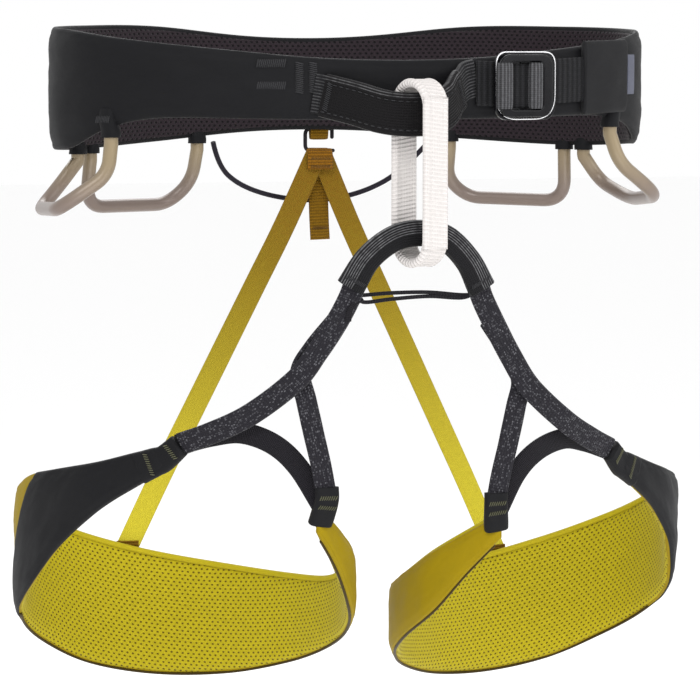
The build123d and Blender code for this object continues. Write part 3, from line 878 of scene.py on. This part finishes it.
def make_haul_loop():
    """One length of thin cord from seam to seam across the belt's back."""
    route = [(-57, 93, -34), (-53, 98, -48), (-38, 109, -60), (-14, 119, -68), (14, 122, -71), (40, 116, -66),
             (61, 104, -53), (73, 89.5, -35)]
    curve = bpy.data.curves.new("haul_cord", "CURVE")
    curve.dimensions = "3D"
    curve.bevel_depth = 1.5 * MM
    curve.bevel_resolution = 5
    curve.resolution_u = 12
    curve.use_fill_caps = True
    spline = curve.splines.new("NURBS")
    spline.points.add(len(route) - 1)
    for point, (x, y, z) in zip(spline.points, route):
        point.co = (x * MM, y * MM, z * MM, 1)
    spline.order_u = 3
    spline.use_endpoint_u = True
    cord = add("haul_cord", curve)
    dress(cord, CORD, "waist_belt", ("haul_loop",))


# The belay loop and the leg bridge

def stadium(centre, out_dir, top, bottom, gap, count):
    """Points round an upright stadium: two straight runs `gap` apart joined by half circles."""
    radius = gap / 2
    rows = []
    for sign, z, start in ((1, top - radius, 0), (-1, bottom + radius, 180)):
        for n in range(25):
            a = math.radians(start + 180 * n / 24)
            rows.append(centre + out_dir * (radius * math.cos(a)) + UP * (z + radius * math.sin(a)))
    return [Vector(r) for r in smooth(rows, count, True)]


def make_belay_loop():
    """A ring of thick white webbing: raised edges, ribs across its face."""
    twist = math.radians(23)
    side = Vector((math.cos(twist), math.sin(twist), 0))
    out_dir = Vector((math.sin(twist), -math.cos(twist), 0))
    stations = closed_stations(stadium(Vector((3.5, -121.8, 0)), out_dir, 2.6, -90.4, 25.2, 260), side, 16)

    def selvedge(along, across, face, half):
        return face * (0.55 * ridge(across, half, 1.9, 1.0) - 0.3 * ridge(across, half, 4.0, 0.7))

    loop = band("belay_loop_webbing", stations, 3.9, squareness=6, across=28, relief=selvedge, loop=True)
    dress(loop, WHITE_WEB, "belay_loop", ("belay_loop",))

BRIDGE_ROUTE = [(-31, -112.5, -103), (-22.5, -116.5, -88), (-10, -120.9, -77.6), (4, -121.6, -74.9),
                (18, -120.9, -77.9), (31.5, -116.5, -90), (40.5, -112.5, -105)]


def make_bridge():
    """The ribbed sleeve that joins the leg loops at the front, and the thin elastic crossed under it."""
    points = [Vector(p) for p in BRIDGE_ROUTE]
    widths = [15.4, 14, 13.8, 13.8, 13.8, 14, 15.4]
    stations = frames(points, facing_front(points), widths, 110)
    sleeve = band("bridge_sleeve", stations, 7, squareness=5, across=20,
                  relief=lambda u, v, face, half: face * 0.25 * ridge(v, half, 1.4, 0.9))
    dress(sleeve, RIB_SLEEVE, "leg_bridge", ("leg_bridge_sleeve", "leg_bridge_webbing"))
    runs = []
    for centre, side, normal, width in (stations[5], stations[-6]):
        runs += tack_runs(centre + normal * 3.4, side, normal, 11, 2.6, 0.8)
    dress(stitches("bridge_stitches", runs, 0.3), THREAD, "leg_bridge")

    strands = [(-22, -108.5, -109.5), (-8, -109.5, -108.5), (12, -110, -108), (31, -108.5, -109.5)]
    for name, shift in (("upper", 1.3), ("lower", -1.3)):
        path = [Vector(p) + UP * shift + Vector((0, 0, 0.6 * math.sin(n + shift))) for n, p in enumerate(strands)]
        path = [path[0] + Vector((-5, -2.5, 1.5 - shift))] + path + [path[-1] + Vector((7, -3, 2 - shift))]
        cord = band("bridge_elastic_" + name, frames(path, UP, 2.1, 50), 1.5, squareness=4, across=6)
        nodes = ("bridge_elastic",) if name == "upper" else ()
        dress(cord, BLACK_ELASTIC, "leg_bridge", nodes)
    tail_path = [(-24, -110.5, -109), (-29, -111, -112), (-31, -110.5, -116), (-31.5, -110, -121)]
    tail_end = band("bridge_elastic_tail", frames(tail_path, RIGHT, 3.4, 20), 1.4, squareness=4,
                    across=6)
    dress(tail_end, BLACK_ELASTIC, "leg_bridge")


# The leg loops

PAD_STATIONS = [
    (-106, -195, -209, 1), (-96, -200, -219, 0), (-82, -207, -234, 0), (-64, -214, -258, 0), (-44, -222, -285, 0),
    (-20, -238, -306, 0), (6, -254, -326, 0), (32, -268, -343, 0), (58, -278, -350, 0), (84, -283, -347, 0),
    (110, -284, -335, 0), (134, -280, -319, 1), (154, -268, -303, 4), (172, -252, -285, 9), (188, -238, -260, 14),
    (203, -224, -236, 20),
]
PAD_ROWS = smooth(PAD_STATIONS, 240)


def leg_raise(side, x):
    """How far a leg loop sits above the common height: the two hang a little differently."""
    return LEG_LIFT[side] + LEG_ROLL[side] * (x - LEG_ROLL_CENTRE)


def leg_point(side, x, y, z):
    """A point of a leg loop: x is measured outwards from the harness's middle plane."""
    return Vector((LOWER_X + SIDES[side] * x, y, z + leg_raise(side, x)))


def pad_spot(side, angle, height, out):
    """A point of a pad: height runs from -1 at its bottom edge to 1 at its top edge."""
    top, bottom, lean = (float(np.interp(angle, PAD_ROWS[:, 0], PAD_ROWS[:, k])) for k in (1, 2, 3))
    a = math.radians(angle)
    long_way = Vector((math.cos(LEG_TURN), math.sin(LEG_TURN), 0))
    short_way = Vector((-math.sin(LEG_TURN), math.cos(LEG_TURN), 0))
    travel = (short_way * (LEG_B * math.cos(a)) - long_way * (LEG_A * math.sin(a))).normalized()
    spot = LEG_CENTRE + long_way * (LEG_A * math.cos(a)) + short_way * (LEG_B * math.sin(a))
    spot += travel.cross(UP) * out
    return leg_point(side, spot.x, spot.y - lean, (top + bottom) / 2 + height * (top - bottom) / 2)


def pad_layer(name, side, start, end, low, high, inner, outer, count, across, squareness, relief):
    """One cover of a pad, between two distances from its middle surface; start and end are functions of height."""
    rings, places = [], []
    along, before = 0.0, None
    for n in range(count):
        share = n / (count - 1)
        middle = pad_spot(side, start(0) + (end(0) - start(0)) * share, 0, 0)
        along += (middle - before).length if before else 0
        before = middle
        close = min(share, 1 - share) * count / 5
        taper = math.sqrt(max(0.12, 1 - max(0.0, 1 - close) ** 2))
        ring, place = [], []
        for face in (1, -1):
            for k in range(across + 1):
                v = -math.cos(math.pi * (k + 0.5) / (across + 1)) * face
                height = low + (high - low) * (v + 1) / 2
                angle = start(height) + (end(height) - start(height)) * share
                out = (outer if face > 0 else inner) * (1 - abs(v) ** squareness) ** 0.5 * taper
                spot = pad_spot(side, angle, height, out)
                tall = (pad_spot(side, angle, 1, 0) - pad_spot(side, angle, -1, 0)).length / 2
                lift = relief(along, height * tall, face, tall)
                spot = spot + (pad_spot(side, angle, height, out + 1) - spot) * lift
                ring.append(spot)
                place.append((along + (angle - start(0) - (end(0) - start(0)) * share) * 1.5, height * tall))
        rings.append(ring)
        places.append(place)
    return tube_mesh(name, rings, places, flip=SIDES[side] < 0)


def pad_wrinkle(along, across, face, half):
    """A crowned pad: its covers pull in towards the seams near both edges, with a few soft creases."""
    seam = -0.55 * ridge(across, half, 2.6, 0.9)
    return face * seam + ripple(along, across, 26, 10, 0.8, 6) + ripple(along, across, 10, 8, 0.25, 8)


def make_leg(side):
    """A pad: its cover, its mesh lining, the dark front panel, the piping below and the binding above."""
    body = "leg_loop_" + side
    cover = pad_layer("leg_cover_" + side, side, lambda height: -107.0, lambda height: 201.0, -1, 1, -2.9, 2.9,
                      260, 22, 6, pad_wrinkle)
    dress(cover, LEG_CLOTH, body, ("leg_shell_" + side, "leg_foam_core_" + side))
    mesh = pad_layer("leg_inner_mesh_" + side, side, lambda height: -103.0, lambda height: 200.0, -0.98, 0.95,
                     -3.5, -2.0, 240, 16, 10, crumpled(26, 10, 0.8, 6))
    dress(mesh, LEG_MESH, body, ("leg_mesh_liner_" + side,))
    panel = pad_layer("leg_panel_" + side, side, lambda height: -107.5, lambda height: -35 - 17 * height, -1.015,
                      1.012, 1.0, 4.2, 160, 22, 6, pad_wrinkle)
    dress(panel, PANEL, body, ("leg_front_panel_" + side,))
    edge = [pad_spot(side, -22 + 220 * n / 139, -1.0, -0.6) - UP * 0.3 for n in range(140)]
    dress(tube("leg_piping_" + side, edge, 0.8, 10), PIPING, body)
    edge = [pad_spot(side, -34 + 233 * n / 159, 0.97, -1.7) for n in range(160)]
    dress(tube("leg_binding_" + side, edge, 1.7, 14), BINDING, body)


OUTER_RISER = [(33.4, -113.6, -100), (36, -110.6, -109), (43, -107.5, -123), (53, -102.5, -140), (65, -98.5, -157),
               (88, -91, -176), (107, -80.5, -187), (120.5, -71.5, -193.5)]
INNER_RISER = [(41.6, -103.4, -122), (54, -97.6, -139), (61, -94, -153), (58, -94.6, -168), (54, -95, -186),
               (50, -94.8, -203), (47, -94.8, -219)]
LOOP_ELASTIC = [(121.5, -67.5, -194.5), (105, -75, -189), (90, -82, -186.5), (74, -86, -192), (61, -88.5, -204),
                (48.5, -92.6, -225)]


def side_route(side, route):
    """A right-side route moved to the side asked for; its top follows the bridge's own middle."""
    moved = []
    for x, y, z in route:
        near_bridge = min(1.0, max(0.0, 1 - (-109 - z) / 45))
        moved.append(leg_point(side, x, y, z)
                     + Vector(((BRIDGE_X - LOWER_X) * near_bridge, 0, -leg_raise(side, x) * near_bridge)))
    return moved


def riser_edge(along, across, face, half):
    """Tubular webbing: fuller towards both edges than along its middle."""
    return face * 0.3 * ridge(across, half, 2.2, 1.3) + ripple(along, across, 18, 9, 0.5, 1)


def make_straps(side):
    """A leg loop's two front risers, the elastic between their ends, and the folded tabs that hold them."""
    body = "leg_loop_" + side
    for name, route, width in (("outer", OUTER_RISER, 12.3), ("inner", INNER_RISER, 11.2)):
        path = side_route(side, route)
        riser = band("riser_" + name + "_" + side, frames(path, facing_front(path), width, 150), 2.5,
                     squareness=5, across=14, relief=riser_edge)
        dress(riser, RISER_WEB, body, ("leg_" + name + "_riser_" + side,))
    path = side_route(side, LOOP_ELASTIC)
    elastic = band("loop_elastic_band_" + side, frames(path, facing_front(path), 11.5, 110), 1.6, squareness=6)
    dress(elastic, BLACK_ELASTIC, body, ("leg_loop_elastic_" + side,))

    outer_end = side_route(side, OUTER_RISER)[-1]
    inner_end = side_route(side, INNER_RISER)[-1]
    outer_path = [outer_end.lerp(pad_spot(side, -106, 0, 0), 0.1), pad_spot(side, -106, 0, 0.2),
                  pad_spot(side, -103, 0, 0.4), pad_spot(side, -98, 0, 0.4)]
    pad_end = pad_spot(side, 199, 0.1, 0)
    inner_path = [inner_end + UP * 5, inner_end - UP * 2, (inner_end - UP * 4).lerp(pad_end, 0.6), pad_end]
    tacks = []
    for name, path, width, thick in (("outer", outer_path, [12.8, 14.2, 15.6, 17.5], 7.8),
                                     ("inner", inner_path, [13.0, 13.2, 13.6, 13.4], 6.4)):
        across = [UP] * 4 if name == "outer" else [RIGHT] * 4
        stations = frames(path, across, width, 34)
        tab = band(name + "_end_tab_" + side, stations, thick, squareness=5, across=12,
                   relief=crumpled(8, 5, 0.4, 3))
        dress(tab, PANEL, body, ("leg_end_tabs_" + side,) if name == "outer" else ())
        for n in ((6, 24) if name == "outer" else (8, 15)):
            centre, direction, normal, width_here = stations[n]
            front = normal if normal.dot(FORWARD) > 0 else -normal
            tacks += tack_runs(centre + front * (thick / 2), direction, front, width_here - 3.5, 2.6, 1.2)
    dress(stitches("end_tab_stitches_" + side, tacks, 0.32), TAB_THREAD, body)


# The rear: tab, hook, strap tail and the risers that hold the pads up

TAB_X, TAB_Y = 10, 105.8


def make_rear():
    """The tab on the belt, the open hook in it, the strap's loose tail and the block that joins the risers."""
    def rear(rows):
        return [(TAB_X + x, TAB_Y + y, z) for x, y, z in rows]

    tab_path = rear([(0, -2.3, -8), (0, -2.3, -26), (0, -1.4, -31.8), (0, 0, -32.9), (0, 1.4, -31.8), (0, 2.3, -26),
                     (0, 2.3, -14)])
    tab = band("rear_tab", frames(tab_path, RIGHT, 11, 70), 1.2)
    dress(tab, YELLOW_TAIL, "waist_belt", ("rear_hook_tab",))
    middle, wide, tall = -33.5, 8.2, 6.5
    hook_path = rear([(wide, 0, middle + 1.5), (wide, 0, middle + tall), (-wide, 0, middle + tall),
                      (-wide, 0, middle - tall), (wide + 0.6, 0, middle - tall)])
    hook = tube("rear_hook_bar", rounded(hook_path, 0.28, 8), 1.15, 18)
    dress(hook, HOOK_COAT, "leg_bridge", ("rear_hook",))
    tail_path = rear([(0, 2.1, -38.5), (0, 2.7, -43), (0.5, 3.5, -58), (1, 3.5, -76), (1.5, 2.5, -93)])
    stations = frames(tail_path, RIGHT, 12, 90)
    tail_end = band("rear_tail", stations, 1.7, relief=crumpled(20, 12, 0.7, 5))
    dress(tail_end, YELLOW_TAIL, "leg_bridge", ("rear_strap_tail",))
    front = Vector((TAB_X, TAB_Y - 4.0, -46))
    block_path = [front + UP * 7 + Vector((0, 2.4, 0)), front + UP * 3, front - UP * 5]
    block = band("rear_block", frames(block_path, RIGHT, 15.5, 24), 1.8)
    dress(block, YELLOW_BLOCK, "leg_bridge", ("rear_stitch_block",))
    runs = []
    for height in (1.5, -3.2):
        runs += tack_runs(front + UP * height - Vector((0, 0.9, 0)), RIGHT, FORWARD, 12, 2.2)
    runs += tack_runs(Vector((TAB_X + 1.4, TAB_Y + 2.1, -86)), RIGHT, FORWARD, 9, 2.0)
    dress(stitches("rear_stitches", runs, 0.3), BROWN_THREAD, "leg_bridge")


def make_rear_riser(side):
    """A yellow elastic riser, from the hook's stitched block to the pad's top edge behind the thigh."""
    sign = SIDES[side]
    angle = REAR_ANGLE[side]
    foot = pad_spot(side, angle, 1, 4.4)
    outward = (pad_spot(side, angle, 1, 5.4) - foot).normalized()
    travel = (pad_spot(side, angle + 2, 1, 4.4) - pad_spot(side, angle - 2, 1, 4.4))
    travel = Vector((travel.x, travel.y, 0)).normalized()
    shift = {"left": -1.2, "right": 0.9}[side]
    start = Vector((TAB_X + sign * 2, TAB_Y + shift, -46.5))
    end = foot + UP + outward * 0.5
    foot_side = -travel if travel.x < 0 else travel
    across = [RIGHT.lerp(foot_side, n / 6) for n in range(7)]
    path = [start.lerp(end, n / 6) for n in range(7)]
    path[0] += UP * 4 - (end - start).normalized() * 1.5
    path[-1] -= UP * 2
    riser = band("rear_riser_" + side + "_web", frames(path, across, 13, 170), 1.5, squareness=8)
    dress(riser, YELLOW_WEB_SHADED_TOP, None, ("rear_riser_" + side,))
    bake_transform(riser)
    anchor_path = [foot + UP * 2 + outward * 0.3, foot - UP * 8, foot - UP * 26]
    anchor = band("rear_anchor_" + side, frames(anchor_path, foot_side, 13.2, 30), 1.6)
    dress(anchor, YELLOW_TAIL, "leg_loop_" + side, ("rear_riser_anchor_" + side,))


make_belt()
make_belt_trim()
make_tie_in()
make_buckle()
make_gear_loops()
make_haul_loop()
make_belay_loop()
make_bridge()
for leg in SIDES:
    make_leg(leg)
    make_straps(leg)
    make_rear_riser(leg)
make_rear()
